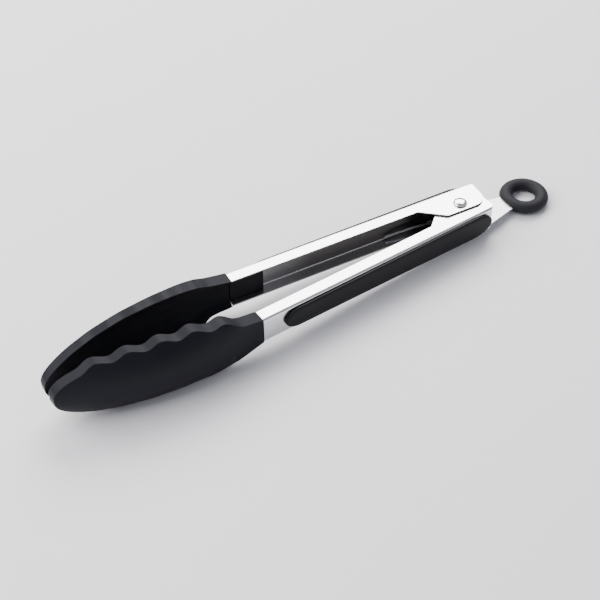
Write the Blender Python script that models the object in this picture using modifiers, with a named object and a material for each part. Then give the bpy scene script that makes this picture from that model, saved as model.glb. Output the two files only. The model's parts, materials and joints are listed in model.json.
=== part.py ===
"""Spring loaded kitchen tongs: two steel channel arms nested on one rivet.

Run with: blender --background --python part.py

Metres, +Z up. The tongs lie on their side as on a table: the pivot axis is close to
vertical, the heads point to -X and the hanging ring to +X. The outer arm is on the +Y side
and its ears lie over the ears of the inner arm, which is on the -Y side.

Each arm is built in its own frame: x along the arm from the pivot axis (heads at -x),
y outwards from the pivot to the back of the channel, z across the channel.
"""
from math import asin, atan, cos, degrees, pi, radians, sin

import bmesh
import bpy
from mathutils import Matrix, Vector

# ---------------------------------------------------------------- driving dimensions
GAP = 0.0003                 # between pieces that touch or slide on each other

# channel arms
SHEET = 0.0010               # steel sheet
INNER_WIDTH = 0.0180         # across the inner arm's channel, outside
REACH = 0.0139               # pivot axis to the back of each arm
FLANGE = 0.0081              # depth of the channel's flanges
BEND = 0.0016                # outside radius of the two long bends
COLLAR = 0.1562              # pivot axis to the head end of the steel
TAIL = 0.0147                # pivot axis to the tail end of the web
HALF_OPENING = radians(3.1)  # each arm's angle to the centre line as the tongs lie locked

# ears, the deep parts of the flanges that carry the rivet
EAR_START = 0.0275           # where the flange begins to deepen
EAR_SHOULDER = 0.0118        # where the ear reaches its full depth
EAR_DEPTH = 0.0061           # how far the ear passes the pivot axis
EAR_OVERHANG = 0.0021        # how far the ear's rounded tail passes the web's
EAR_ROUND = 0.0085           # radius of the ear's tail corner
EAR_ELBOW = 0.0026           # radius where the slanted edge meets the straight one

# rivet, sleeve and spring
RIVET = 0.0050               # shank diameter
RIVET_HEAD = 0.0086          # head diameter
RIVET_DOME = 0.0017          # head height
SLEEVE_WALL = 0.0012
WIRE = 0.0016                # spring wire diameter
COIL_PLAY = 0.0018           # room between the coil and the sleeve
TURNS = 4                    # full turns, and half a turn more between the legs
TURN_GAP = 0.0002            # between one turn and the next
LEG = 0.0460                 # pivot axis to the ends of the spring's legs
LEG_KNEE = 0.0270            # pivot axis to where a leg bends towards the side of the channel
LEG_DROP = 0.0014            # how far the leg's end lies beyond the knee

# lock tab and hanging ring
TAB = 0.0012                 # plate thickness
LOCK_PLAY = 0.0004           # between the locked tab and the tail of each web
TAB_NARROW = 0.0068          # half width where it enters the ring
TAB_INNER = 0.0046           # steel left beyond the inner end of the slot
TAB_CORNER = 0.0040          # length of the slanted corner at the inner end
TAB_NOSE = 0.0080            # half width of the inner end
TAB_CROWN = 0.0008           # how much the tab narrows from the middle to that corner
LOCK_TRAVEL = 0.0130         # how far the tab slides in to free the arms
LOCK_SPARE = 0.0005          # how far the tab can be drawn beyond the locked place
NECK = 0.0200                # tab seen between the ears and the ring when it is drawn out
RING = 0.0115                # mean radius of the ring
RING_TUBE = 0.0044           # half width of the ring's oval section
RING_HEIGHT = 0.0038         # half height of that section
RING_FLAT = 0.0016           # depth of the flat where the tab comes out of the ring
EYE = 0.0016                 # half width of the steel eye inside the ring

# soft grips on the backs of the arms
GRIP_BARE = 0.0142           # bare steel between the grip and the head
GRIP_MARGIN = 0.0020         # bare steel above and below the grip's head end
GRIP_TAIL_MARGIN = 0.0010    # and its tail end
GRIP_HEAD_ROUND = 0.0105     # length of the grip's rounded head end
GRIP_TAIL_ROUND = 0.0143     # and of its tail end
GRIP_TAIL = 0.0006           # bare steel behind the grip
GRIP_HEIGHT = 0.0021         # how far the grip stands out from the steel
GRIP_EDGE = 0.0016           # rounding of the grip's edge

# heads: rows of (share of the head's length, value), joined by smooth curves
HEAD_LENGTH = 0.1240
HEAD_WIDTH = 0.0408
TIP_GAP = 0.0048             # between the two tips as the tongs lie locked
COLLAR_BAND = 0.0085         # depth of the head's side where it meets the channel
HEAD_OUTLINE = ((0.11, 0.657), (0.19, 0.824), (0.32, 0.951), (0.50, 1.0), (0.68, 0.971),
                (0.81, 0.873), (0.89, 0.716), (0.95, 0.510), (0.988, 0.284), (1.0, 0.127))
HEAD_SWEEP = ((0.0, 0.0), (0.12, 0.027), (0.19, 0.071), (0.33, 0.176), (0.47, 0.286),
              (0.61, 0.440), (0.75, 0.660), (0.89, 0.890), (1.0, 1.0))
HEAD_BAND = ((0.0, COLLAR_BAND), (0.19, 0.0081), (0.33, 0.0073), (0.47, 0.0066), (0.65, 0.0062),
             (1.0, 0.0064))
BOWL_DEPTH = ((0.0, 0.0044), (0.19, 0.0064), (0.40, 0.0088), (0.65, 0.0088), (0.85, 0.0060),
              (0.95, 0.0028), (1.0, 0.0006))
BACK_BULGE = ((0.0, 0.0), (0.10, 0.0010), (0.24, 0.0048), (0.44, 0.0078), (0.65, 0.0078),
              (0.85, 0.0054), (0.95, 0.0026), (1.0, 0.0006))
BOWL_SQUARENESS = ((0.0, 9.0), (0.24, 3.2), (0.48, 2.2), (1.0, 2.0))
BACK_SQUARENESS = 2.2
SCALLOPS = 5                 # waves along each rim
SCALLOP_FIRST = 0.0235       # collar to the crest of the first wave
SCALLOP_PITCH = 0.0188
SCALLOP_RISE = 0.0009        # half the height of a wave

# head insert, the stiff core inside the soft head and its tang in the channel
TANG_LENGTH = 0.0225
TANG_DEPTH = 0.0031
CORE_THICKNESS = 0.0017
CORE_TIP = 0.0180            # soft material beyond the core's end
CORE_MARGIN = 0.0052         # soft material beyond the core's edge
COLLAR_MARGIN = 0.0032       # soft material beside the core at the collar
SCREW_INSET = 0.0040         # end of the tang to the screw that holds it
SCREW_HEAD = 0.0048
SCREW_SHANK = 0.0024
SCREW_BITE = 0.0024          # how deep the screw goes into the tang

# ---------------------------------------------------------------- sizes that follow
OUTER_WIDTH = INNER_WIDTH + 2 * (SHEET + GAP)
WEB_INSIDE = REACH - SHEET
HEAD_START = COLLAR + GAP
EAR_TAIL = TAIL + EAR_OVERHANG
HOLE = RIVET / 2 + GAP                      # radius of the rivet's holes
SLEEVE = HOLE + SLEEVE_WALL                 # outside radius of the sleeve
COIL = SLEEVE + COIL_PLAY + WIRE / 2        # mean radius of the spring's coil
EARS_APART = INNER_WIDTH - 2 * SHEET
TAB_LOW = -EARS_APART / 2 + GAP
TAB_MIDDLE = TAB_LOW + TAB / 2
TAB_WIDE = (WEB_INSIDE - TAIL * sin(HALF_OPENING)) / cos(HALF_OPENING) - LOCK_PLAY
SLOT = SLEEVE + GAP                         # half width of the tab's slot
RING_NEAR = EAR_TAIL + NECK
RING_CENTRE = RING_NEAR + RING_TUBE + RING
TANG_BACK = WEB_INSIDE - GAP
SCREW_X = -COLLAR + TANG_LENGTH - SCREW_INSET
COLLAR_RIM = REACH - COLLAR_BAND
TIP_RIM = (TIP_GAP / 2 - (HEAD_START + HEAD_LENGTH) * sin(HALF_OPENING)) / cos(HALF_OPENING)

# ---------------------------------------------------------------- clean scene
for old in list(bpy.data.objects):
    bpy.data.objects.remove(old, do_unlink=True)
parts = bpy.data.collections.new("kitchen_tongs")
cutters = bpy.data.collections.new("cutters")
for group in (parts, cutters):
    bpy.context.scene.collection.children.link(group)


# ---------------------------------------------------------------- helpers
def material(name, colour, roughness, metallic):
    mat = bpy.data.materials.new(name)
    mat.use_nodes = True
    shader = mat.node_tree.nodes["Principled BSDF"]
    shader.inputs["Base Color"].default_value = (*colour, 1.0)
    shader.inputs["Roughness"].default_value = roughness
    shader.inputs["Metallic"].default_value = metallic
    return mat


def frame_empty(name, rotation, parent=None, location=(0, 0, 0)):
    empty = bpy.data.objects.new(name, None)
    parts.objects.link(empty)
    empty.location = location
    empty.rotation_euler = rotation
    empty.parent = parent
    return empty


def finish(obj, parent, mat, smooth_degrees=30):
    """Names its material, hangs it on its frame and shades its round surfaces smooth."""
    obj.parent = parent
    obj.data.materials.clear()
    obj.data.materials.append(mat)
    if obj.type == "MESH":
        obj.data.shade_smooth()
        obj.data.set_sharp_from_angle(angle=radians(smooth_degrees))
    return obj


def as_cutter(obj):
    obj.hide_render = True
    obj.display_type = "WIRE"
    for group in list(obj.users_collection):
        group.objects.unlink(obj)
    cutters.objects.link(obj)
    return obj


def cut(obj, cutter, operation="DIFFERENCE"):
    boolean = obj.modifiers.new(cutter.name, "BOOLEAN")
    boolean.operation = operation
    boolean.solver = "EXACT"
    boolean.object = cutter
    cutter.parent = obj.parent


def oval_arc(centre, long, high, start, end, steps=6):
    """Points on part of an ellipse, angles in degrees."""
    angles = [radians(start + (end - start) * i / steps) for i in range(steps + 1)]
    return [(centre[0] + long * cos(a), centre[1] + high * sin(a)) for a in angles]


def arc(centre, radius, start, end, steps=6):
    """Points on an arc, angles in degrees."""
    return oval_arc(centre, radius, radius, start, end, steps)


def plate(name, loops, thickness, place=Matrix()):
    """A flat outline with holes, extruded to a thickness about its own plane."""
    curve = bpy.data.curves.new(name, "CURVE")
    curve.dimensions = "2D"
    curve.fill_mode = "BOTH"
    curve.extrude = thickness / 2
    for loop in loops:
        spline = curve.splines.new("POLY")
        spline.points.add(len(loop) - 1)
        for point, (x, y) in zip(spline.points, loop):
            point.co = (x, y, 0, 1)
        spline.use_cyclic_u = True
    flat = bpy.data.objects.new(name, curve)
    parts.objects.link(flat)
    bpy.context.view_layer.update()
    mesh = bpy.data.meshes.new_from_object(flat.evaluated_get(bpy.context.evaluated_depsgraph_get()))
    solid = bmesh.new()
    solid.from_mesh(mesh)
    bmesh.ops.remove_doubles(solid, verts=solid.verts, dist=1e-6)
    bmesh.ops.transform(solid, matrix=place, verts=solid.verts)
    solid.to_mesh(mesh)
    solid.free()
    bpy.data.objects.remove(flat)
    obj = bpy.data.objects.new(name, mesh)
    parts.objects.link(obj)
    return obj


def turned(name, profile, place=Matrix(), closed=False, steps=32):
    """A turned piece about z: the profile is (radius, height), top to bottom on the outside."""
    mesh = bpy.data.meshes.new(name)
    edges = [(i, i + 1) for i in range(len(profile) - 1)]
    if closed:
        edges.append((len(profile) - 1, 0))
    mesh.from_pydata([(r, 0, z) for r, z in profile], edges, [])
    obj = bpy.data.objects.new(name, mesh)
    parts.objects.link(obj)
    screw = obj.modifiers.new("turn", "SCREW")
    screw.steps = steps
    screw.render_steps = steps
    screw.use_merge_vertices = True
    screw.merge_threshold = 0.00001
    obj.matrix_local = place
    return obj


def smooth_value(rows, at):
    """Reads a value from rows of (place, value) along a smooth curve through them."""
    if at <= rows[0][0]:
        return rows[0][1]
    if at >= rows[-1][0]:
        return rows[-1][1]
    i = max(k for k in range(len(rows) - 1) if rows[k][0] <= at)

    def slope(k):
        low, high = max(k - 1, 0), min(k + 1, len(rows) - 1)
        return (rows[high][1] - rows[low][1]) / (rows[high][0] - rows[low][0])

    (x0, y0), (x1, y1) = rows[i], rows[i + 1]
    span = x1 - x0
    t = (at - x0) / span
    return ((2 * t ** 3 - 3 * t ** 2 + 1) * y0 + (t ** 3 - 2 * t ** 2 + t) * span * slope(i)
            + (3 * t ** 2 - 2 * t ** 3) * y1 + (t ** 3 - t ** 2) * span * slope(i + 1))


def loft(name, sections):
    """Closed skin over rings of points that all have the same count."""
    mesh = bmesh.new()
    rings = [[mesh.verts.new(point) for point in section] for section in sections]
    count = len(rings[0])
    for near, far in zip(rings, rings[1:]):
        for i in range(count):
            j = (i + 1) % count
            mesh.faces.new((near[i], near[j], far[j], far[i]))
    half = count // 2
    for ring in (rings[0], rings[-1]):
        for i in range(half - 1):
            mesh.faces.new((ring[i], ring[i + 1], ring[count - 2 - i], ring[count - 1 - i]))
    bmesh.ops.recalc_face_normals(mesh, faces=mesh.faces)
    data = bpy.data.meshes.new(name)
    mesh.to_mesh(data)
    mesh.free()
    obj = bpy.data.objects.new(name, data)
    parts.objects.link(obj)
    return obj


# ---------------------------------------------------------------- materials
STEEL = material("polished_steel", (0.78, 0.78, 0.79), 0.22, 1.0)
SPRING_STEEL = material("spring_steel", (0.55, 0.55, 0.57), 0.30, 1.0)
SILICONE = material("black_silicone", (0.016, 0.016, 0.020), 0.52, 0.0)
NYLON = material("black_nylon", (0.018, 0.018, 0.022), 0.45, 0.0)
SOFT_GRIP = material("soft_grip", (0.014, 0.014, 0.017), 0.55, 0.0)
RUBBER = material("ring_rubber", (0.035, 0.035, 0.038), 0.60, 0.0)
BUSH = material("sleeve_nylon", (0.70, 0.70, 0.68), 0.50, 0.0)


# ---------------------------------------------------------------- the table and the frames
def head_half_width(arm_width, at):
    outline = [(share * HEAD_LENGTH, part * HEAD_WIDTH / 2) for share, part in HEAD_OUTLINE]
    return smooth_value([(0.0, arm_width / 2), *outline], at)


def head_rim(at):
    """Where the rim lies outwards from the pivot: it sweeps in from the collar to the tip."""
    return COLLAR_RIM + (TIP_RIM - COLLAR_RIM) * smooth_value(HEAD_SWEEP, at / HEAD_LENGTH)


def ease(share):
    """Runs smoothly from 0 to 1."""
    share = min(max(share, 0.0), 1.0)
    return share * share * (3 - 2 * share)


def scallop(at):
    """Rise of the wavy rim, eased to nothing at the collar and at the tip."""
    first = SCALLOP_FIRST - SCALLOP_PITCH / 2
    last = first + SCALLOPS * SCALLOP_PITCH
    if at < first:
        return -SCALLOP_RISE * ease(at / first)
    if at > last:
        return -SCALLOP_RISE * ease((HEAD_LENGTH - at) / (HEAD_LENGTH - last))
    return SCALLOP_RISE * cos(2 * pi * (at - SCALLOP_FIRST) / SCALLOP_PITCH)


def head_drop(at):
    """How far the head's lower rim lies below the pivot's middle."""
    return head_half_width(INNER_WIDTH, at) + scallop(at)


def head_place(at, out):
    """How far a point of the head lies from the pivot along the centre line."""
    return (HEAD_START + at) * cos(HALF_OPENING) - out * sin(HALF_OPENING)


def head_corner(at):
    """The outer edge of the lower rim, which is the part of it nearest to the pivot."""
    return head_place(at, head_rim(at) + smooth_value(HEAD_BAND, at / HEAD_LENGTH) + scallop(at))


# The tongs rest on the heads' lower rims and on the far side of the ring.
stations = [HEAD_LENGTH * i / 44 for i in range(45)]
ring_foot = RING_CENTRE + RING
ring_drop = RING_HEIGHT - TAB_MIDDLE
lay_angle = max(atan((head_drop(at) - ring_drop) / (head_corner(at) + ring_foot)) for at in stations)
lift = ring_foot * sin(lay_angle) - TAB_MIDDLE * cos(lay_angle) + RING_HEIGHT
tip_end = head_place(HEAD_LENGTH, TIP_RIM) * cos(lay_angle)
ring_end = RING_CENTRE * cos(lay_angle) + TAB_MIDDLE * sin(lay_angle) + RING + RING_TUBE

tongs = frame_empty("tongs", (0, lay_angle, 0), None, ((tip_end - ring_end) / 2, 0, lift))
outer_frame = frame_empty("outer_frame", (0, 0, -HALF_OPENING), tongs)
inner_frame = frame_empty("inner_frame", (pi, 0, HALF_OPENING), tongs)
pivot_frame = frame_empty("pivot_frame", (0, 0, 0), tongs)

ACROSS = Matrix.Rotation(radians(-90), 4, "X")     # turns z to +y, for pieces set into the web
ALONG = Matrix(((0, 0, 1, 0), (1, 0, 0, 0), (0, 1, 0, 0), (0, 0, 0, 1)))


# ---------------------------------------------------------------- channel arms
def arm(name, width, parent):
    """Bent sheet: a deep channel trimmed to the side outline with its ears and rivet holes."""
    deep = -EAR_DEPTH - GAP
    half = width / 2
    inside = BEND - SHEET
    outline = [(deep, -half)]
    outline += arc((REACH - BEND, -half + BEND), BEND, -90, 0)
    outline += arc((REACH - BEND, half - BEND), BEND, 0, 90)
    outline += [(deep, half), (deep, half - SHEET)]
    outline += arc((REACH - BEND, half - BEND), inside, 90, 0, 3)
    outline += arc((REACH - BEND, -half + BEND), inside, 0, -90, 3)
    outline += [(deep, -half + SHEET)]
    length = COLLAR + EAR_TAIL
    middle = Matrix.Translation(((EAR_TAIL - COLLAR) / 2, 0, 0))
    channel = plate(name, [outline], length, middle @ ALONG)
    flange_edge = REACH - FLANGE
    side = [(-COLLAR, REACH + GAP), (-COLLAR, flange_edge), (-EAR_START, flange_edge)]
    side += arc((-EAR_SHOULDER, -EAR_DEPTH + EAR_ELBOW), EAR_ELBOW, 232, 270, 3)
    side += arc((EAR_TAIL - EAR_ROUND, -EAR_DEPTH + EAR_ROUND), EAR_ROUND, 270, 360, 8)
    side += arc((EAR_TAIL - BEND, REACH - SHEET - BEND), BEND, 0, 90, 4)
    side += [(TAIL, REACH - SHEET), (TAIL, REACH + GAP)]
    hole = arc((0, 0), HOLE, 0, 345, 23)
    trim = as_cutter(plate(name + "_outline", [side, hole], OUTER_WIDTH + 4 * SHEET))
    finish(channel, parent, STEEL)
    cut(channel, trim, "INTERSECT")
    screw_hole = as_cutter(turned(name + "_screw_hole",
                                  [(0, 2 * SHEET), (SCREW_HEAD / 2 + GAP, 2 * SHEET),
                                   (SCREW_HEAD / 2 + GAP, -2 * SHEET), (0, -2 * SHEET)],
                                  Matrix.Translation((SCREW_X, REACH, 0)) @ ACROSS, steps=24))
    cut(channel, screw_hole)
    return channel


outer_arm = arm("outer_arm", OUTER_WIDTH, outer_frame)
inner_arm = arm("inner_arm", INNER_WIDTH, inner_frame)


# ---------------------------------------------------------------- heads
def head_section(width, at, samples, margin=0.0):
    """Heights across the head with the bowl's surface and the back's surface at each."""
    rise = scallop(at)
    half = head_half_width(width, at) + rise - margin
    share = at / HEAD_LENGTH
    rim = head_rim(at)
    depth = smooth_value(BOWL_DEPTH, share)
    bulge = smooth_value(BACK_BULGE, share)
    squareness = smooth_value(BOWL_SQUARENESS, share)
    rows = []
    for i in range(samples):
        z = half * sin(pi / 2 * (2 * i / (samples - 1) - 1))
        aside = min(abs(z) / (half + margin), 1.0)
        wave = rise * aside ** 4
        bowl = rim - wave + depth * (1 - aside ** squareness)
        back = rim - wave + smooth_value(HEAD_BAND, share) + bulge * (1 - aside ** BACK_SQUARENESS)
        rows.append((z, bowl, back))
    return rows


def jaw(name, width, parent):
    """Soft head: the scoop between its bowl and its back, from the collar to the tip."""
    sections = []
    for at in stations:
        rows = head_section(width, at, 13)
        x = -HEAD_START - at
        front = [(x, bowl, z) for z, bowl, back in rows]
        rear = [(x, back, z) for z, bowl, back in reversed(rows)]
        sections.append(front + rear)
    return finish(loft(name, sections), parent, SILICONE)


def core(name, width, grow, tang):
    """Stiff insert: a thin blade half way through the head, and the tang in the channel."""
    sections = []
    if tang:
        half = width / 2 - SHEET - GAP
        for x in (-COLLAR + TANG_LENGTH, -COLLAR + GAP):
            heights = [half * (2 * i / 8 - 1) for i in range(9)]
            front = [(x, TANG_BACK - TANG_DEPTH, z) for z in heights]
            rear = [(x, TANG_BACK, z) for z in reversed(heights)]
            sections.append(front + rear)
    mouth = SHEET                  # the blade is straight for this far inside the collar
    core_end = HEAD_LENGTH - CORE_TIP
    lengths = [0.0 if tang else -TANG_DEPTH, mouth] + [core_end * i / 16 for i in range(1, 17)]
    lengths[-1] += grow
    half_thick = CORE_THICKNESS / 2 + grow
    for at in lengths:
        margin = COLLAR_MARGIN if at < TANG_LENGTH / 2 else CORE_MARGIN
        x = -HEAD_START - at
        front = []
        rear = []
        for z, bowl, back in head_section(width, max(at, mouth), 9, margin - grow):
            front.append((x, (bowl + back) / 2 - half_thick, z))
            rear.append((x, (bowl + back) / 2 + half_thick, z))
        sections.append(front + rear[::-1])
    return loft(name, sections)


def head(side, width, parent):
    soft = jaw(side + "_jaw", width, parent)
    pocket = as_cutter(core(side + "_core_pocket", width, GAP, False))
    cut(soft, pocket)
    stiff = finish(core(side + "_head_core", width, 0.0, True), parent, NYLON)
    bite = [(0, GAP), (SCREW_SHANK / 2 + GAP, GAP), (SCREW_SHANK / 2 + GAP, -SCREW_BITE - 2 * GAP),
            (0, -SCREW_BITE - 2 * GAP)]
    at_tang = Matrix.Translation((SCREW_X, TANG_BACK, 0)) @ ACROSS
    cut(stiff, as_cutter(turned(side + "_screw_bore", bite, at_tang, steps=16)))
    top = REACH - GAP
    under = WEB_INSIDE
    low = TANG_BACK - SCREW_BITE
    profile = [(0, top), (SCREW_HEAD / 2 - GAP, top), (SCREW_HEAD / 2, top - GAP), (SCREW_HEAD / 2, under),
               (SCREW_SHANK / 2, under), (SCREW_SHANK / 2, low + SCREW_SHANK / 4), (0, low)]
    screw = turned(side + "_head_screw", profile, Matrix.Translation((SCREW_X, 0, 0)) @ ACROSS, steps=24)
    finish(screw, parent, SPRING_STEEL)


head("outer", OUTER_WIDTH, outer_frame)
head("inner", INNER_WIDTH, inner_frame)


# ---------------------------------------------------------------- soft grips
def grip(name, width, parent):
    """Long pad with oval ends, bonded to the back of the channel."""
    left = -COLLAR + GRIP_BARE + GRIP_HEAD_ROUND
    right = TAIL - GRIP_TAIL - GRIP_TAIL_ROUND
    outline = oval_arc((right, 0), GRIP_TAIL_ROUND, width / 2 - GRIP_TAIL_MARGIN, -90, 90, 14)
    outline += oval_arc((left, 0), GRIP_HEAD_ROUND, width / 2 - GRIP_MARGIN, 90, 270, 14)
    lifted = Matrix.Translation((0, REACH + GAP + GRIP_HEIGHT / 2, 0))
    pad = plate(name, [outline], GRIP_HEIGHT, lifted @ ACROSS)
    mesh = bmesh.new()
    mesh.from_mesh(pad.data)
    outside = REACH + GAP + GRIP_HEIGHT
    crown = [e for e in mesh.edges if all(v.co.y > outside - 1e-6 for v in e.verts) and e.is_manifold
             and e.calc_face_angle(0) > 1]
    bmesh.ops.bevel(mesh, geom=crown, offset=GRIP_EDGE, segments=3, profile=0.5, affect="EDGES",
                    clamp_overlap=True)
    mesh.to_mesh(pad.data)
    mesh.free()
    return finish(pad, parent, SOFT_GRIP)


grip("outer_grip", OUTER_WIDTH, outer_frame)
grip("inner_grip", INNER_WIDTH, inner_frame)

# ---------------------------------------------------------------- rivet and sleeve
RIVET_EDGE = 0.0004          # height of the head's straight edge
head_under = OUTER_WIDTH / 2 + GAP
upper = [(0, head_under + RIVET_DOME)]
for slope in (75, 60, 45, 30, 15, 0):
    rise = RIVET_EDGE + (RIVET_DOME - RIVET_EDGE) * sin(radians(slope))
    upper.append((RIVET_HEAD / 2 * cos(radians(slope)), head_under + rise))
upper += [(RIVET_HEAD / 2, head_under), (RIVET / 2, head_under)]
rivet_profile = upper + [(r, -z) for r, z in reversed(upper)]
finish(turned("pivot_rivet", rivet_profile), pivot_frame, STEEL)

sleeve_half = EARS_APART / 2 - GAP
sleeve_profile = [(SLEEVE, sleeve_half), (SLEEVE, -sleeve_half), (HOLE, -sleeve_half), (HOLE, sleeve_half)]
finish(turned("pivot_sleeve", sleeve_profile, closed=True), pivot_frame, BUSH)

# ---------------------------------------------------------------- torsion spring
# Each leg leaves the coil at its side and lies against the inside of one web.
def web_inside(x):
    """Where a leg of the spring lies against the web."""
    return (WEB_INSIDE - WIRE / 2 - GAP - x * sin(HALF_OPENING)) / cos(HALF_OPENING)


coil_low = TAB_LOW + TAB + GAP + WIRE / 2
pitch = WIRE + TURN_GAP
leave = WIRE / 4             # keeps the leg's first bend clear of the coil's next turn
share = LEG_KNEE / LEG
knee_y = COIL + (web_inside(-LEG) - COIL) * share
route = [Vector((-LEG, web_inside(-LEG), coil_low - LEG_DROP)), Vector((-LEG_KNEE, knee_y, coil_low)),
         Vector((-SLEEVE, COIL + leave, coil_low))]
turn_steps = 18
for i in range(TURNS * turn_steps + turn_steps // 2 + 1):
    angle = pi / 2 - 2 * pi * i / turn_steps
    route.append(Vector((COIL * cos(angle), COIL * sin(angle), coil_low + pitch * i / turn_steps)))
coil_top = route[-1].z
route += [Vector((-SLEEVE, -COIL - leave, coil_top)), Vector((-LEG_KNEE, -knee_y, coil_top)),
          Vector((-LEG, -web_inside(-LEG), coil_top + LEG_DROP))]
wire = bpy.data.curves.new("torsion_spring", "CURVE")
wire.dimensions = "3D"
wire.bevel_depth = WIRE / 2
wire.bevel_resolution = 2
wire.use_fill_caps = True
line = wire.splines.new("POLY")
line.points.add(len(route) - 1)
for point, place in zip(line.points, route):
    point.co = (*place, 1)
spring = bpy.data.objects.new("torsion_spring", wire)
parts.objects.link(spring)
finish(spring, pivot_frame, SPRING_STEEL)


# ---------------------------------------------------------------- lock tab and ring
def tab_loops(grow):
    """Outline of the plate and the hole of the eye inside the ring."""
    inner_end = -LOCK_SPARE - SLOT - TAB_INNER
    eye = RING + EYE + grow
    narrow = TAB_NARROW + grow
    side = [(inner_end - grow, TAB_NOSE), (inner_end + TAB_CORNER, TAB_WIDE - TAB_CROWN + grow),
            (0, TAB_WIDE + grow), (TAIL, TAB_WIDE + grow), (RING_NEAR, narrow)]
    meet = degrees(asin(narrow / eye))
    outline = side + arc((RING_CENTRE, 0), eye, 180 - meet, meet - 180, 24)
    outline += [(x, -y) for x, y in reversed(side)]
    hole = arc((RING_CENTRE, 0), RING - EYE - grow, 0, 345, 23)
    return outline, hole


outline, eye_hole = tab_loops(0.0)
slot = arc((LOCK_TRAVEL + LOCK_SPARE, 0), SLOT, -90, 90, 8)
slot += arc((-LOCK_SPARE, 0), SLOT, 90, 270, 8)
tab_height = Matrix.Translation((0, 0, TAB_MIDDLE))
finish(plate("lock_tab", [outline, slot, eye_hole], TAB, tab_height), pivot_frame, STEEL)

bpy.ops.mesh.primitive_torus_add(major_radius=RING, minor_radius=RING_TUBE, major_segments=40,
                                 minor_segments=14, location=(RING_CENTRE, 0, TAB_MIDDLE))
ring = bpy.context.object
ring.name = "hang_ring"
ring.data.transform(Matrix.Diagonal((1, 1, RING_HEIGHT / RING_TUBE, 1)))
for group in list(ring.users_collection):
    group.objects.unlink(ring)
parts.objects.link(ring)
finish(ring, pivot_frame, RUBBER)
pocket_outline, pocket_hole = tab_loops(GAP)
pocket = as_cutter(plate("hang_ring_pocket", [pocket_outline, pocket_hole], TAB + 2 * GAP, tab_height))
cut(ring, pocket)
flat_x = RING_NEAR + RING_FLAT
flat_y = TAB_NARROW + GAP
flat_outline = [(RING_NEAR - RING_FLAT, -flat_y), (flat_x, -flat_y), (flat_x, flat_y),
                (RING_NEAR - RING_FLAT, flat_y)]
cut(ring, as_cutter(plate("hang_ring_flat", [flat_outline], 3 * RING_HEIGHT, tab_height)))
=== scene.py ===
"""Spring loaded kitchen tongs, lying locked on a white table.

Steel channel arms nested on one rivet, soft black heads and grips, and a tab with a hanging
ring that locks them. Metres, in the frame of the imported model.
"""
import json
from math import asin, cos, degrees, pi, radians, sin

import bmesh
import bpy
from mathutils import Matrix, Vector


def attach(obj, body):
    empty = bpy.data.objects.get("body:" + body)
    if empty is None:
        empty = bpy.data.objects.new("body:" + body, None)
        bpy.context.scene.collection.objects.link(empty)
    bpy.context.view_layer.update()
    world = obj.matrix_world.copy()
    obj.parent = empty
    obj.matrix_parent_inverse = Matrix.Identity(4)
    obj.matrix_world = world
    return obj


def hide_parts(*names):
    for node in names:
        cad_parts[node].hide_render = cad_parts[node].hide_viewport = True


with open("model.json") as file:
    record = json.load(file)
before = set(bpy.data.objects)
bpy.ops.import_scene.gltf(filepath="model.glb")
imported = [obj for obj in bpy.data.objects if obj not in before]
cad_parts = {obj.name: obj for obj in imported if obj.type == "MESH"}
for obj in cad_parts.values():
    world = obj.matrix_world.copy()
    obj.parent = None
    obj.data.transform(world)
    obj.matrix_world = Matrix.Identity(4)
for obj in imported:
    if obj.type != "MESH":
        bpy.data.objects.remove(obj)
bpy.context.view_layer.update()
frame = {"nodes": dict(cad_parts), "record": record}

# ------------------------------------------------------------------------------------------
# How the tongs lie. Everything is set out from the rivet: the frame says where it stands and
# how far it leans. Each arm is made along x from the rivet, with its back towards y, and is
# then turned to its own side of the middle line.
# ------------------------------------------------------------------------------------------
HALF_OPENING = radians(3.1)
GAP = 0.0003                 # left between pieces that would touch
CLOSE = 0.000001             # points nearer than this are one point

joints = {joint["name"]: joint for joint in frame["record"]["behaviour"]["joints"]}
lean = Vector(joints["arm_hinge"]["axis"])
along = Vector((lean.z, 0, -lean.x))
leaning = Matrix((along, (0, 1, 0), lean)).transposed().to_4x4()
tongs = Matrix.Translation(joints["arm_hinge"]["pos_m"]) @ leaning
arm_places = {
    "outer": tongs @ Matrix.Rotation(-HALF_OPENING, 4, "Z"),
    "inner": tongs @ Matrix.Rotation(HALF_OPENING, 4, "Z") @ Matrix.Rotation(pi, 4, "X"),
}
SET_IN_WEB = Matrix.Rotation(-pi / 2, 4, "X")      # turns z to the back of an arm

# ------------------------------------------------------------------------------------------
# Table and camera. A plain white table top lies under the tongs. The camera looks down on them
# at 45 degrees through a long lens, from the near side and out beyond the heads.
# ------------------------------------------------------------------------------------------
CAMERA_FROM_RIVET = (-0.4066, -0.4759, 0.5395)
CAMERA_TURN = radians(-31.28)
CAMERA_DOWN = radians(45.33)
CAMERA_ROLL = radians(-0.42)
LENS = 78.0                  # millimetres
FRAME_RISE = 0.0207          # lens shift, as a share of the frame
NEAREST = 0.05               # nothing nearer is drawn

eye = bpy.data.cameras.new("camera")
eye.lens = LENS
eye.shift_y = FRAME_RISE
eye.clip_start = NEAREST
camera = bpy.data.objects.new("camera", eye)
bpy.context.scene.collection.objects.link(camera)
looking = Matrix.Rotation(CAMERA_TURN, 4, "Z") @ Matrix.Rotation(pi / 2 - CAMERA_DOWN, 4, "X")
standing = tongs @ Matrix.Translation(CAMERA_FROM_RIVET)
camera.matrix_world = standing @ looking @ Matrix.Rotation(CAMERA_ROLL, 4, "Z")
bpy.context.scene.camera = camera


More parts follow.
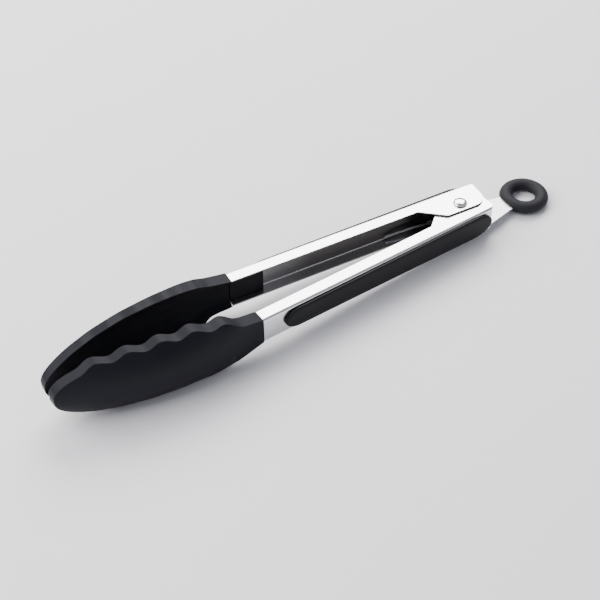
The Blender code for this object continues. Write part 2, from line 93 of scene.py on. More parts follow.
class Shade:
    """One socket of a material, so that shader maths is written as plain arithmetic."""

    def __init__(self, tree, socket=None):
        self.tree = tree
        self.socket = socket

    def node(self, kind, settings=(), inputs=(), output=0):
        """Adds a node: its settings first, then the values or links of its sockets."""
        made = self.tree.nodes.new("ShaderNode" + kind)
        for name, value in dict(settings).items():
            setattr(made, name, value)
        for name, value in dict(inputs).items():
            if isinstance(value, Shade):
                self.tree.links.new(value.socket, made.inputs[name])
            else:
                made.inputs[name].default_value = value
        return Shade(self.tree, made.outputs[output])

    def maths(self, operation, first, second):
        return self.node("Math", {"operation": operation}, {0: first, 1: second})

    def __add__(self, other):
        return self.maths("ADD", self, other)

    def __mul__(self, other):
        return self.maths("MULTIPLY", self, other)

    def axis(self, letter):
        """One coordinate of a vector."""
        return self.node("SeparateXYZ", inputs={"Vector": self}, output="XYZ".index(letter))

    def mix(self, low, high):
        """A colour between two plain or shaded ones, by this value."""
        low, high = (end if isinstance(end, Shade) else (*end, 1) for end in (low, high))
        settings = {"data_type": "RGBA", "clamp_factor": True}
        return self.node("Mix", settings, {0: self, 6: low, 7: high}, 2)


def new_material(name, roughness, metallic=0.0, place=Matrix()):
    """A Principled material, its shader, and coordinates in metres along and across a piece."""
    material = bpy.data.materials.new(name)
    material.use_nodes = True
    shader = material.node_tree.nodes["Principled BSDF"]
    shader.inputs["Roughness"].default_value = roughness
    shader.inputs["Metallic"].default_value = metallic
    base = Shade(material.node_tree)
    where = base.node("TexCoord", output=3)
    turned = base.node("Mapping", {"vector_type": "TEXTURE"},
                       {"Vector": where, "Location": place.translation, "Rotation": place.to_euler()})
    return material, shader, turned


def noise(where, scale, stretch=(1, 1, 1), detail=3.0):
    """Noise from 0 to 1, at a scale per metre, drawn out along the axes with small stretch."""
    stretched = where.node("Mapping", inputs={"Vector": where, "Scale": [scale * s for s in stretch]})
    return where.node("TexNoise", inputs={"Vector": stretched, "Scale": 1.0, "Detail": detail})


def feed(shader, **links):
    """Links values to a shader's sockets, whose names are given with underscores."""
    for name, value in links.items():
        value.tree.links.new(value.socket, shader.inputs[name.replace("_", " ")])


def bump(height, depth, strength=1.0):
    return height.node("Bump", inputs={"Height": height, "Distance": depth, "Strength": strength})


def tinted(colour, share, lift=0.0):
    """A colour made darker or lighter."""
    return tuple(level * share + lift for level in colour)


TABLE_SIZE = 12.0
TABLE_WHITE = (0.86, 0.86, 0.87)
TABLE_CLOUDS = 30            # per metre
bpy.ops.mesh.primitive_plane_add(size=TABLE_SIZE)
table = bpy.context.object
table.name = "table"
table_paint, shader, where = new_material("table_white", 0.8)
shader.inputs["Specular IOR Level"].default_value = 0.1
clouds = noise(where, TABLE_CLOUDS)
feed(shader, Base_Color=clouds.mix(tinted(TABLE_WHITE, 0.985), TABLE_WHITE))
table.data.materials.append(table_paint)

# ------------------------------------------------------------------------------------------
# Light. A broad soft box stands high behind the tongs, where the flat sides of the steel
# mirror it to the camera. A second one stands high on the left, so that the shadows fall
# softly to the near right. The room itself is an even, slightly blue grey.
# ------------------------------------------------------------------------------------------
ROOM = (0.46, 0.46, 0.52)
BACK_POWER = 42.0
LEFT_POWER = 48.0
for name, stands, wide, high, power in (
        ("back_soft_box", (0.72, 1.02, 1.15), 1.35, 0.95, BACK_POWER),
        ("left_soft_box", (-0.95, 0.65, 1.10), 1.7, 1.5, LEFT_POWER)):
    lamp = bpy.data.lights.new(name, "AREA")
    lamp.shape = "RECTANGLE"
    lamp.size = wide
    lamp.size_y = high
    lamp.energy = power
    holder = bpy.data.objects.new(name, lamp)
    bpy.context.scene.collection.objects.link(holder)
    holder.location = stands
    holder.rotation_euler = (-Vector(stands)).to_track_quat("-Z", "Y").to_euler()
room = bpy.data.worlds.new("room")
room.use_nodes = True
room.node_tree.nodes["Background"].inputs["Color"].default_value = (*ROOM, 1)
bpy.context.scene.world = room

# ------------------------------------------------------------------------------------------
# Channel arms. Each is one strip of 1 mm stainless sheet bent into a channel, with its
# flanges deepened into ears at the tail. The ears of the outer arm lie over those of the
# inner arm, and the rivet goes through all four.
# ------------------------------------------------------------------------------------------
SHEET = 0.0010
INNER_WIDTH = 0.0180
WIDTHS = {"outer": INNER_WIDTH + 2 * (SHEET + GAP), "inner": INNER_WIDTH}
REACH = 0.0139               # rivet to the back of each arm
FLANGE_EDGE = 0.0058         # rivet's line to the edge of the flanges
BEND = 0.0016                # outside radius of the long bends
COLLAR = 0.1562              # rivet to the head end of the steel
TAIL = 0.0147                # rivet to the tail end of the web
EAR_TAIL = 0.0168            # rivet to the rounded tail of the ears
EAR_DEPTH = 0.0061           # how far the ears pass the rivet's middle
EAR_ROUND = 0.0085           # corner between the tail and the free edge of the ears
EAR_ELBOW = 0.0026           # corner between the free edge and the slope to the flanges
EAR_ELBOW_X = -0.0118
EAR_ELBOW_START = 232        # degrees round the elbow where the slope meets it
EAR_SLOPE_X = -0.0275        # where the slope leaves the flanges
EDGE_BREAK = 0.00016         # rounding of the cut edges
RIVET_HOLE = 0.0028
SCREW_HOLE = 0.0027
SCREW_X = -0.1377            # the screw that holds the head's tang
SCRATCHES = 1600             # per metre across the sheet
SCRATCH_DRAWN_OUT = 0.012
SCRATCH_DEPTH = 0.000012
FINGER_MARKS = 45            # per metre
# painted shade and reflection inside the channels, a dark brown grey
INSIDE_SHADE_BROWN = (0.085, 0.077, 0.072)
HEAD_END_SHADE = 0.62                  # painted shade on the inside at the head end
RIVET_SHADE_GAIN = 0.9                # how much more painted shade there would be by the rivet
DEEPEST_SHADE = 0.95               # its limit
ROUGHER = 0.12               # how much rougher the inside is
SHEARED = (0.26, 0.25, 0.24)  # cut edges of the sheet


def only(piece):
    """Selects one piece and nothing else."""
    bpy.ops.object.select_all(action="DESELECT")
    piece.select_set(True)
    bpy.context.view_layer.objects.active = piece


def pick(piece, kind, test):
    """In edit mode, selects the faces whose middle and normal, or edges whose ends, pass a test."""
    bpy.ops.mesh.select_mode(type=kind)
    bpy.ops.mesh.select_all(action="DESELECT")
    mesh = bmesh.from_edit_mesh(piece.data)
    for item in list(mesh.faces if kind == "FACE" else mesh.edges):
        if kind == "FACE":
            passes = test(item.calc_center_median(), item.normal)
        else:
            passes = test(*[vertex.co for vertex in item.verts])
        if passes:
            item.select_set(True)
    bmesh.update_edit_mesh(piece.data)


def modify(piece, kind, **settings):
    """Adds a modifier and applies it."""
    only(piece)
    modifier = piece.modifiers.new(kind.lower(), kind)
    for name, value in settings.items():
        setattr(modifier, name, value)
    bpy.ops.object.modifier_apply(modifier=modifier.name)


def round_edges(piece, width, segments=2, sharpest=50):
    """Bevels the edges that turn by more than an angle in degrees."""
    modify(piece, "BEVEL", width=width, segments=segments, limit_method="ANGLE",
           angle_limit=radians(sharpest))


def cut(piece, tool, operation="DIFFERENCE"):
    """Cuts a piece with another, which is then removed."""
    modify(piece, "BOOLEAN", object=tool, operation=operation, solver="EXACT")
    bpy.data.objects.remove(tool, do_unlink=True)


def oval_arc(centre, long, high, start, end, steps):
    """Points on part of an ellipse, angles in degrees."""
    angles = [radians(start + (end - start) * i / steps) for i in range(steps + 1)]
    return [(centre[0] + long * cos(a), centre[1] + high * sin(a)) for a in angles]


def arc(centre, radius, start, end, steps):
    return oval_arc(centre, radius, radius, start, end, steps)


def plate(name, outline, thickness):
    """A flat blank cut to an outline in x and y, with its thickness about z = 0."""
    bpy.ops.mesh.primitive_circle_add(vertices=len(outline), fill_type="NGON")
    blank = bpy.context.object
    blank.name = name
    for vertex, (x, y) in zip(blank.data.vertices, outline):
        vertex.co = (x, y, -thickness / 2)
    bpy.ops.object.mode_set(mode="EDIT")
    bpy.ops.mesh.select_all(action="SELECT")
    bpy.ops.mesh.extrude_region_move(TRANSFORM_OT_translate={"value": (0, 0, thickness)})
    bpy.ops.mesh.select_all(action="SELECT")
    bpy.ops.mesh.normals_make_consistent(inside=False)
    bpy.ops.object.mode_set(mode="OBJECT")
    return blank


def peg(name, radius, depth, place):
    """A round bar along the z of its place."""
    bpy.ops.mesh.primitive_cylinder_add(vertices=64, radius=radius, depth=depth)
    made = bpy.context.object
    made.name = name
    made.matrix_world = place
    return made


def coat(piece, material):
    """Makes this the piece's one material."""
    piece.data.materials.clear()
    piece.data.materials.append(material)


def settle(piece, place, material, smooth=30):
    """Puts a finished piece in its place in the frame, with its material and smooth shading."""
    only(piece)
    piece.matrix_world = place @ piece.matrix_world
    bpy.ops.object.transform_apply(location=True, rotation=True, scale=True)
    bpy.ops.object.shade_smooth_by_angle(angle=radians(smooth))
    modify(piece, "WEIGHTED_NORMAL", weight=100, keep_sharp=True)
    coat(piece, material)


def steel(name, place, colour=(0.80, 0.80, 0.81), roughness=0.20, width=None):
    """Stainless steel with fine scratches along the piece and a few cloudy finger marks. The inside of a
    channel of a given width is rougher, as rolled, and its colour is painted shade and reflection: a dark
    brown grey, deepest by the rivet."""
    material, shader, where = new_material(name, roughness, 1.0, place)
    scratches = noise(where, SCRATCHES, (SCRATCH_DRAWN_OUT, 1, 1), 2.0)
    marks = noise(where, FINGER_MARKS, (0.6, 1, 1))
    base_tone = marks.mix(tinted(colour, 0.94), colour)
    rough = scratches * 0.10 + marks * 0.10 + (roughness - 0.10)
    # Painted shade and reflection: the inside of the channel is darkened towards a dark brown grey, more
    # so towards the rivet, and made rougher.
    if width:
        off_back = where.maths("LESS_THAN", where.axis("Y"), REACH - SHEET / 2)
        from_middle = where.maths("ABSOLUTE", where.axis("Z"), 0)
        off_flanges = where.maths("LESS_THAN", from_middle, width / 2 - BEND)
        shade_toward_rivet = (where.axis("X") + COLLAR) * (RIVET_SHADE_GAIN / COLLAR) + HEAD_END_SHADE
        inside = off_back * off_flanges * where.maths("MINIMUM", shade_toward_rivet, DEEPEST_SHADE)
        base_tone = inside.mix(base_tone, INSIDE_SHADE_BROWN)
        rough = rough + inside * ROUGHER
    feed(shader, Base_Color=base_tone, Roughness=rough, Normal=bump(scratches, SCRATCH_DEPTH))
    return material


def channel_arm(side):
    """A box without its ends and underside, thickened, then cut to the arm's side view."""
    width = WIDTHS[side]
    deep = 2 * EAR_DEPTH
    spare = 4 * SHEET
    bpy.ops.mesh.primitive_cube_add(size=1)
    arm = bpy.context.object
    arm.name = side + "_channel"
    arm.scale = (COLLAR + TAIL + spare, REACH + deep, width)
    arm.location = ((TAIL + spare - COLLAR) / 2, (REACH - deep) / 2, 0)
    bpy.ops.object.transform_apply(location=True, rotation=True, scale=True)
    bpy.ops.object.mode_set(mode="EDIT")
    pick(arm, "FACE", lambda middle, normal: abs(normal.x) > 0.9 or normal.y < -0.9)
    bpy.ops.mesh.delete(type="FACE")
    pick(arm, "EDGE", lambda a, b: min(a.y, b.y) > REACH - GAP and abs(a.x - b.x) > SHEET)
    bpy.ops.mesh.bevel(offset=BEND, segments=10, affect="EDGES")
    bpy.ops.object.mode_set(mode="OBJECT")
    modify(arm, "SOLIDIFY", thickness=SHEET, offset=-1, use_even_offset=True)
    side_view = [(-COLLAR, REACH + GAP), (-COLLAR, FLANGE_EDGE), (EAR_SLOPE_X, FLANGE_EDGE)]
    side_view += arc((EAR_ELBOW_X, -EAR_DEPTH + EAR_ELBOW), EAR_ELBOW, EAR_ELBOW_START, 270, 6)
    side_view += arc((EAR_TAIL - EAR_ROUND, -EAR_DEPTH + EAR_ROUND), EAR_ROUND, 270, 360, 18)
    side_view += arc((EAR_TAIL - BEND, REACH - SHEET - BEND), BEND, 0, 90, 8)
    side_view += [(TAIL, REACH - SHEET), (TAIL, REACH + GAP)]
    cut(arm, plate("side_view", side_view, 2 * width), "INTERSECT")
    cut(arm, peg("rivet_hole", RIVET_HOLE, 2 * width, Matrix()))
    in_web = Matrix.Translation((SCREW_X, REACH, 0)) @ SET_IN_WEB
    cut(arm, peg("screw_hole", SCREW_HOLE, 4 * SHEET, in_web))
    round_edges(arm, EDGE_BREAK)
    settle(arm, arm_places[side], steel(side + "_arm_steel", arm_places[side], width=width))
    arm.data.materials.append(steel(side + "_sheared_edge", arm_places[side], SHEARED, 0.42))
    unplaced = arm_places[side].inverted()
    for face in arm.data.polygons:
        middle = unplaced @ face.center
        sideways = abs((unplaced.to_3x3() @ face.normal).z) < 0.5
        if sideways and abs(middle.z) > width / 2 - SHEET - GAP and middle.y < REACH - BEND - SHEET:
            face.material_index = 1
    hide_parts(side + "_arm")
    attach(arm, side + "_arm")


for side in WIDTHS:
    channel_arm(side)

# ------------------------------------------------------------------------------------------
# Heads. Soft black silicone scoops moulded over a stiff core. The rim is a broad band with
# five shallow waves, and the bowl has low ribs that fan out from the collar.
# ------------------------------------------------------------------------------------------
HEAD_LENGTH = 0.1240
HEAD_WIDTH = 0.04066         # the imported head's 40.8 mm, less what its flat faces cut off a curve
TIP_GAP = 0.0048             # between the two heads at their tips
COLLAR_BAND = 0.0085         # height of the rim's band at the collar
HEAD_OUTLINE = ((0.11, 0.657), (0.19, 0.824), (0.32, 0.951), (0.50, 1.0), (0.68, 0.971),
                (0.81, 0.873), (0.89, 0.716), (0.95, 0.510), (0.988, 0.284), (1.0, 0.127))
HEAD_SWEEP = ((0.0, 0.0), (0.12, 0.027), (0.19, 0.071), (0.33, 0.176), (0.47, 0.286),
              (0.61, 0.440), (0.75, 0.660), (0.89, 0.890), (1.0, 1.0))
HEAD_BAND = ((0.0, COLLAR_BAND), (0.19, 0.0081), (0.33, 0.0073), (0.47, 0.0066), (0.65, 0.0062),
             (1.0, 0.0064))
BOWL_DEPTH = ((0.0, 0.0044), (0.19, 0.0064), (0.40, 0.0088), (0.65, 0.0088), (0.85, 0.0060),
              (0.95, 0.0028), (1.0, 0.0006))
BACK_BULGE = ((0.0, 0.0), (0.10, 0.0010), (0.24, 0.0048), (0.44, 0.0078), (0.65, 0.0078),
              (0.85, 0.0054), (0.95, 0.0026), (1.0, 0.0006))
BOWL_SQUARENESS = ((0.0, 9.0), (0.24, 3.2), (0.48, 2.2), (1.0, 2.0))
BACK_SQUARENESS = 2.2
SCALLOPS = 5
SCALLOP_FIRST = 0.0235       # collar to the first crest
SCALLOP_PITCH = 0.0188
SCALLOP_RISE = 0.0009
RIB_RISE = 0.00035
RIB_START = 0.06             # shares of the head's length
RIB_SPAN = 0.6
RIBS_ASIDE = 2.5             # waves from the middle to each side
RIM_ROUND = 0.0005
HEAD_START = COLLAR + GAP
TIP_RIM = (TIP_GAP / 2 - (HEAD_START + HEAD_LENGTH) * sin(HALF_OPENING)) / cos(HALF_OPENING)


def smooth_value(rows, at):
    """Reads a value from rows of (place, value) along a smooth curve through them."""
    if at <= rows[0][0]:
        return rows[0][1]
    if at >= rows[-1][0]:
        return rows[-1][1]
    i = max(k for k in range(len(rows) - 1) if rows[k][0] <= at)

    def slope(k):
        low, high = max(k - 1, 0), min(k + 1, len(rows) - 1)
        return (rows[high][1] - rows[low][1]) / (rows[high][0] - rows[low][0])

    (x0, y0), (x1, y1) = rows[i], rows[i + 1]
    span = x1 - x0
    t = (at - x0) / span
    return ((2 * t ** 3 - 3 * t ** 2 + 1) * y0 + (t ** 3 - 2 * t ** 2 + t) * span * slope(i)
            + (3 * t ** 2 - 2 * t ** 3) * y1 + (t ** 3 - t ** 2) * span * slope(i + 1))


def ease(share):
    """Runs smoothly from 0 to 1."""
    share = min(max(share, 0.0), 1.0)
    return share * share * (3 - 2 * share)


def scallop(at):
    """Rise of the wavy rim, eased to nothing at the collar and at the tip."""
    first = SCALLOP_FIRST - SCALLOP_PITCH / 2
    last = first + SCALLOPS * SCALLOP_PITCH
    if at < first:
        return -SCALLOP_RISE * ease(at / first)
    if at > last:
        return -SCALLOP_RISE * ease((HEAD_LENGTH - at) / (HEAD_LENGTH - last))
    return SCALLOP_RISE * cos(2 * pi * (at - SCALLOP_FIRST) / SCALLOP_PITCH)


BOWL_POINTS = 33
BAND_POINTS = 5
STATIONS = 150


def head_section(width, at):
    """One ring round the head: the bowl, one band, the back and the other band."""
    share = at / HEAD_LENGTH
    rise = scallop(at)
    outline = [(0.0, width / 2)]
    outline += [(s * HEAD_LENGTH, part * HEAD_WIDTH / 2) for s, part in HEAD_OUTLINE]
    half = smooth_value(outline, at) + rise
    rim = REACH - COLLAR_BAND
    rim += (TIP_RIM - rim) * smooth_value(HEAD_SWEEP, share)
    band = smooth_value(HEAD_BAND, share)
    depth = smooth_value(BOWL_DEPTH, share)
    bulge = smooth_value(BACK_BULGE, share)
    squareness = smooth_value(BOWL_SQUARENESS, share)
    fan = RIB_RISE * max(0.0, sin(pi * min(max((share - RIB_START) / RIB_SPAN, 0.0), 1.0)))

    def bowl(aside):
        ribs = fan * max(0.0, cos(2 * pi * aside * RIBS_ASIDE)) ** 3 * (1 - aside ** 2)
        return rim - rise * abs(aside) ** 4 + depth * (1 - abs(aside) ** squareness) - ribs

    def back(aside):
        return rim + band - rise * abs(aside) ** 4 + bulge * (1 - abs(aside) ** BACK_SQUARENESS)

    across = [sin(pi / 2 * (2 * i / (BOWL_POINTS - 1) - 1)) for i in range(BOWL_POINTS)]
    sides = [i / (BAND_POINTS + 1) for i in range(1, BAND_POINTS + 1)]
    ring = [(bowl(a), a * half) for a in across]
    ring += [(bowl(1) + (back(1) - bowl(1)) * s, half) for s in sides]
    ring += [(back(a), a * half) for a in reversed(across)]
    ring += [(back(1) + (bowl(1) - back(1)) * s, -half) for s in sides]
    return [(-HEAD_START - at, out, z) for out, z in ring]


def scoop_head(side, material):
    """A sheet of faces rolled round the head's sections, closed at both ends."""
    count = 2 * (BOWL_POINTS + BAND_POINTS)
    bpy.ops.mesh.primitive_grid_add(x_subdivisions=count, y_subdivisions=STATIONS - 1)
    head = bpy.context.object
    head.name = side + "_scoop"
    for station in range(STATIONS):
        ring = head_section(WIDTHS[side], HEAD_LENGTH * sin(pi / 2 * station / (STATIONS - 1)))
        for i in range(count + 1):
            head.data.vertices[station * (count + 1) + i].co = ring[i % count]
    bpy.ops.object.mode_set(mode="EDIT")
    bpy.ops.mesh.select_all(action="SELECT")
    bpy.ops.mesh.remove_doubles(threshold=CLOSE)
    for end in (-HEAD_START, -HEAD_START - HEAD_LENGTH):
        pick(head, "EDGE", lambda a, b: max(abs(a.x - end), abs(b.x - end)) < CLOSE)
        bpy.ops.mesh.edge_face_add()
    bpy.ops.mesh.select_all(action="SELECT")
    bpy.ops.mesh.normals_make_consistent(inside=False)
    bpy.ops.object.mode_set(mode="OBJECT")
    round_edges(head, RIM_ROUND, 3, 38)
    settle(head, arm_places[side], material, 50)
    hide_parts(side + "_jaw")
    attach(head, side + "_arm")


SOFT_GLOSS = 0.12            # soft rubber and silicone shine far less than hard plastic
GRAIN_DEPTH = 0.00005
HANDLING = 38                # per metre


def soft_black(name, colour, roughness, grain):
    """Moulded soft black: a fine matt grain, with a little dust and handling wear."""
    material, shader, where = new_material(name, roughness)
    shader.inputs["Specular IOR Level"].default_value = SOFT_GLOSS
    skin = noise(where, grain, detail=4.0)
    handling = noise(where, HANDLING)
    feed(shader, Base_Color=handling.mix(colour, tinted(colour, 1.5, 0.003)),
         Roughness=handling * 0.12 + skin * 0.08 + (roughness - 0.10),
         Normal=bump(skin, GRAIN_DEPTH, 0.6))
    return material


silicone = soft_black("silicone", (0.0046, 0.0046, 0.0078), 0.50, 2600)
for side in WIDTHS:
    scoop_head(side, silicone)
    nylon = soft_black(side + "_core_nylon", (0.0026, 0.0026, 0.0042), 0.38, 1800)
    coat(frame["nodes"][side + "_head_core"], nylon)
    screw_steel = steel(side + "_screw_steel", arm_places[side], (0.55, 0.55, 0.56), 0.30)
    coat(frame["nodes"][side + "_head_screw"], screw_steel)

# ------------------------------------------------------------------------------------------
# Grips. A long pad of soft rubber with round ends is bonded to the back of each arm. It
# stands a little proud, with a rounded edge and a slightly domed face.
# ------------------------------------------------------------------------------------------
GRIP_BARE = 0.0142           # steel left bare between the head and the grip
GRIP_TAIL = 0.0006           # and beyond its tail end
GRIP_MARGIN = 0.0020         # steel left bare beside the grip's head end
GRIP_TAIL_MARGIN = 0.0010    # and beside its tail end
GRIP_HEAD_ROUND = 0.0105     # lengths of the oval ends
GRIP_TAIL_ROUND = 0.0143
GRIP_HEIGHT = 0.0021
GRIP_EDGE = 0.0010           # radius of the rounded edge
GRIP_DOME = 0.0028           # how far in the face still rises
DOME_SHARE = 0.2             # of the edge's height, left to the dome


def crown(piece, top, inward, upward, steps, end=1):
    """Rounds a flat top over, or a bottom where end is -1, in rings along a quarter ellipse."""
    for step in range(steps):
        near, far = pi / 2 * step / steps, pi / 2 * (step + 1) / steps
        pick(piece, "FACE",
             lambda middle, normal: normal.z * end > 0.9 and middle.z * end > top - CLOSE)
        bpy.ops.mesh.inset(thickness=inward * (cos(near) - cos(far)))
        climb = upward * (sin(far) - sin(near))
        bpy.ops.transform.translate(value=(0, 0, climb * end))
        top += climb


def grip_pad(side, material):
    left = -COLLAR + GRIP_BARE + GRIP_HEAD_ROUND
    right = TAIL - GRIP_TAIL - GRIP_TAIL_ROUND
    flank = GRIP_HEIGHT - GRIP_EDGE
    outline = oval_arc((right, 0), GRIP_TAIL_ROUND, WIDTHS[side] / 2 - GRIP_TAIL_MARGIN, -90, 90, 36)
    outline += oval_arc((left, 0), GRIP_HEAD_ROUND, WIDTHS[side] / 2 - GRIP_MARGIN, 90, 270, 36)
    pad = plate(side + "_pad", outline, flank)
    bpy.ops.object.mode_set(mode="EDIT")
    shoulder = GRIP_EDGE * (1 - DOME_SHARE)
    crown(pad, flank / 2, GRIP_EDGE, shoulder, 5)
    crown(pad, flank / 2 + shoulder, GRIP_DOME, GRIP_EDGE * DOME_SHARE, 4)
    bpy.ops.object.mode_set(mode="OBJECT")
    on_web = Matrix.Translation((0, REACH + GAP + flank / 2, 0)) @ SET_IN_WEB
    settle(pad, arm_places[side] @ on_web, material, 50)
    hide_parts(side + "_grip")
    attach(pad, side + "_arm")


grip_rubber = soft_black("grip_rubber", (0.0050, 0.0050, 0.0064), 0.44, 3200)
for side in WIDTHS:
    grip_pad(side, grip_rubber)

# ------------------------------------------------------------------------------------------
# Rivet and sleeve. A polished steel rivet with two low domed heads, set through the ears.
# Between them a nylon sleeve keeps the ears apart and carries the spring.
# ------------------------------------------------------------------------------------------
RIVET = 0.0025               # radius of the shank
RIVET_HEAD = 0.0043          # radius of a head
RIVET_DOME = 0.0017          # height of a head
RIVET_EDGE = 0.0004          # of which this much stands straight
RIVET_ROUNDED = 0.96         # share of a head that is domed, the rest is a small flat
head_under = WIDTHS["outer"] / 2 + GAP
rivet = peg("domed_rivet", RIVET, 2 * head_under, Matrix())
bpy.ops.object.mode_set(mode="EDIT")
for end in (1, -1):
    pick(rivet, "FACE", lambda middle, normal: normal.z * end > 0.9 and middle.z * end > 0)
    bpy.ops.mesh.extrude_region_move(TRANSFORM_OT_translate={"value": (0, 0, 0)})
    bpy.ops.transform.resize(value=(RIVET_HEAD / RIVET, RIVET_HEAD / RIVET, 1))
    bpy.ops.mesh.extrude_region_move(TRANSFORM_OT_translate={"value": (0, 0, RIVET_EDGE * end)})
    crown(rivet, head_under + RIVET_EDGE, RIVET_HEAD * RIVET_ROUNDED, RIVET_DOME - RIVET_EDGE, 8, end)
bpy.ops.mesh.select_all(action="SELECT")
bpy.ops.mesh.normals_make_consistent(inside=False)
bpy.ops.object.mode_set(mode="OBJECT")
settle(rivet, tongs, steel("rivet_steel", tongs, (0.82, 0.82, 0.83), 0.14), 40)
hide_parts("pivot_rivet")
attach(rivet, "outer_arm")

sleeve_nylon, shader, where = new_material("sleeve_nylon", 0.45)
cloud = noise(where, 300)
natural = cloud.mix((0.62, 0.61, 0.57), (0.70, 0.69, 0.66))
feed(shader, Base_Color=natural, Roughness=cloud * 0.1 + 0.40)
coat(frame["nodes"]["pivot_sleeve"], sleeve_nylon)

# ------------------------------------------------------------------------------------------
# Spring. Hard drawn wire wound round the sleeve, with a leg to the inside of each arm. The
# end of each leg is bent to lie in the corner of its channel.
# ------------------------------------------------------------------------------------------
WIRE = 0.0016
COIL = 0.0066                # rivet to the middle of the wire
COIL_LOW = -0.0054           # height of the lowest turn
TURNS = 4.5
TURN_GAP = 0.0002
TURN_STEPS = 40
LEG = 0.0460                 # how far a leg reaches along its arm
LEG_KNEE = 0.0270
LEG_DROP = 0.0014
LEG_ROOT = 0.0040            # where a leg leaves the coil
leg_side = (REACH - SHEET - WIRE / 2 - GAP + LEG * sin(HALF_OPENING)) / cos(HALF_OPENING)
knee_side = COIL + (leg_side - COIL) * LEG_KNEE / LEG
coil_top = COIL_LOW + TURNS * (WIRE + TURN_GAP)
route = [(-LEG, leg_side, COIL_LOW - LEG_DROP), (-LEG_KNEE, knee_side, COIL_LOW),
         (-LEG_ROOT, COIL + WIRE / 4, COIL_LOW)]
for step in range(int(TURNS * TURN_STEPS) + 1):
    angle = pi / 2 - 2 * pi * step / TURN_STEPS
    climb = (WIRE + TURN_GAP) * step / TURN_STEPS
    route.append((COIL * cos(angle), COIL * sin(angle), COIL_LOW + climb))
route += [(-LEG_ROOT, -COIL - WIRE / 4, coil_top), (-LEG_KNEE, -knee_side, coil_top),
          (-LEG, -leg_side, coil_top + LEG_DROP)]
bpy.ops.curve.primitive_nurbs_path_add()
spring = bpy.context.object
spring.name = "wound_spring"
spring.data.splines.clear()
wire_line = spring.data.splines.new("POLY")
wire_line.points.add(len(route) - 1)
for point, place in zip(wire_line.points, route):
    point.co = (*place, 1)
spring.data.bevel_depth = WIRE / 2
spring.data.bevel_resolution = 4
spring.data.use_fill_caps = True
only(spring)
bpy.ops.object.convert(target="MESH")
spring = bpy.context.object
bpy.ops.object.mode_set(mode="EDIT")
bpy.ops.mesh.select_all(action="SELECT")
bpy.ops.mesh.remove_doubles(threshold=CLOSE)
bpy.ops.mesh.normals_make_consistent(inside=False)
bpy.ops.object.mode_set(mode="OBJECT")
settle(spring, tongs, steel("spring_wire", tongs, (0.50, 0.50, 0.52), 0.28), 50)
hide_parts("torsion_spring")
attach(spring, "swivel")

# ------------------------------------------------------------------------------------------
# Lock tab. A stamped steel plate slides on the sleeve by its slot. Drawn out, its shoulders
# stand between the tails of the arms and hold them closed. Its outer end is an eye inside
# the ring.
# ------------------------------------------------------------------------------------------
TAB = 0.0012                 # thickness
TAB_PLAY = 0.0004            # between the shoulders and the webs
TAB_MIDDLE = -INNER_WIDTH / 2 + SHEET + GAP + TAB / 2
TAB_WIDE = (REACH - SHEET - TAIL * sin(HALF_OPENING)) / cos(HALF_OPENING) - TAB_PLAY
TAB_NARROW = 0.0068          # half the width where it enters the ring
TAB_NECK = 0.0200            # ears to the ring
TAB_HEEL = 0.0046            # steel beyond the inner end of the slot
HEEL_WIDE = 0.0080           # half the width of the heel's end
HEEL_CORNER = 0.0040         # length of its corners
HEEL_TAPER = 0.0008          # how much narrower the tab is there than at its shoulders
TAB_EDGE = 0.00015           # rounding of its cut edges
RING = 0.0115                # middle of the ring to the middle of its rubber
RING_TUBE = 0.0044           # half the rubber's width
RING_HEIGHT = 0.0038         # half its height
RING_CENTRE = EAR_TAIL + TAB_NECK + RING_TUBE + RING
EYE = 0.0016                 # half the width of the eye's steel
SLOT = 0.0043                # half the slot's width
SLOT_NEAR = -0.0005          # middles of its round ends
SLOT_FAR = 0.0135
tab_height = Matrix.Translation((0, 0, TAB_MIDDLE))


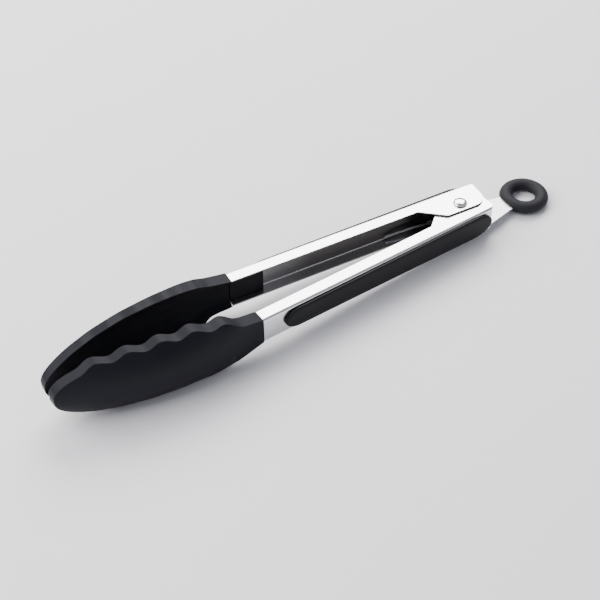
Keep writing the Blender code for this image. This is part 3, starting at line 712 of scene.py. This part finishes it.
def tab_blank(name, grow, thickness):
    """The tab's outline, larger by grow all round, with the eye's hole."""
    eye = RING + EYE + grow
    narrow = TAB_NARROW + grow
    inner_end = SLOT_NEAR - SLOT - TAB_HEEL
    side = [(inner_end - grow, HEEL_WIDE + grow), (inner_end + HEEL_CORNER, TAB_WIDE - HEEL_TAPER + grow),
            (0, TAB_WIDE + grow), (TAIL, TAB_WIDE + grow), (RING_CENTRE - RING - RING_TUBE, narrow)]
    meet = degrees(asin(narrow / eye))
    outline = side + arc((RING_CENTRE, 0), eye, 180 - meet, meet - 180, 64)
    outline += [(x, -y) for x, y in reversed(side)]
    blank = plate(name, outline, thickness)
    in_eye = Matrix.Translation((RING_CENTRE, 0, 0))
    cut(blank, peg("eye_hole", RING - EYE - grow, 4 * thickness, in_eye))
    return blank


tab = tab_blank("stamped_tab", 0, TAB)
slot = arc((SLOT_FAR, 0), SLOT, -90, 90, 20) + arc((SLOT_NEAR, 0), SLOT, 90, 270, 20)
cut(tab, plate("slot", slot, 4 * TAB))
round_edges(tab, TAB_EDGE)
settle(tab, tongs @ tab_height, steel("tab_steel", tongs, (0.66, 0.66, 0.67), 0.42))
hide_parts("lock_tab")
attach(tab, "lock")

# ------------------------------------------------------------------------------------------
# Hanging ring. Soft charcoal rubber moulded round the tab's eye. It is cut flat where the tab
# comes out of it, and a fine parting line runs round its outside.
# ------------------------------------------------------------------------------------------
RING_FLAT = 0.0016           # rubber missing where the tab comes out
RING_EDGE = 0.0002           # rounding where it is cut
PARTING = 0.00008            # height of the parting line
bpy.ops.mesh.primitive_torus_add(major_radius=RING, minor_radius=RING_TUBE - PARTING,
                                 major_segments=120, minor_segments=36)
ring = bpy.context.object
ring.name = "moulded_ring"
for vertex in ring.data.vertices:
    across = Vector((vertex.co.x, vertex.co.y)).length
    if abs(vertex.co.z) < CLOSE and across > RING:
        vertex.co.x *= 1 + PARTING / across
        vertex.co.y *= 1 + PARTING / across
ring.location = (RING_CENTRE, 0, 0)
ring.scale = (1, 1, RING_HEIGHT / RING_TUBE)
bpy.ops.object.transform_apply(location=True, rotation=True, scale=True)
cut(ring, tab_blank("tab_slit", GAP, TAB + 2 * GAP))
ring_near = RING_CENTRE - RING - RING_TUBE
corners = [(ring_near + RING_FLAT * x, (TAB_NARROW + GAP) * y)
           for x, y in ((-1, -1), (1, -1), (1, 1), (-1, 1))]
cut(ring, plate("flat_cut", corners, 4 * RING_TUBE))
round_edges(ring, RING_EDGE)
ring_rubber = soft_black("ring_rubber", (0.015, 0.015, 0.017), 0.58, 2200)
settle(ring, tongs @ tab_height, ring_rubber, 40)
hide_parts("hang_ring")
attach(ring, "lock")
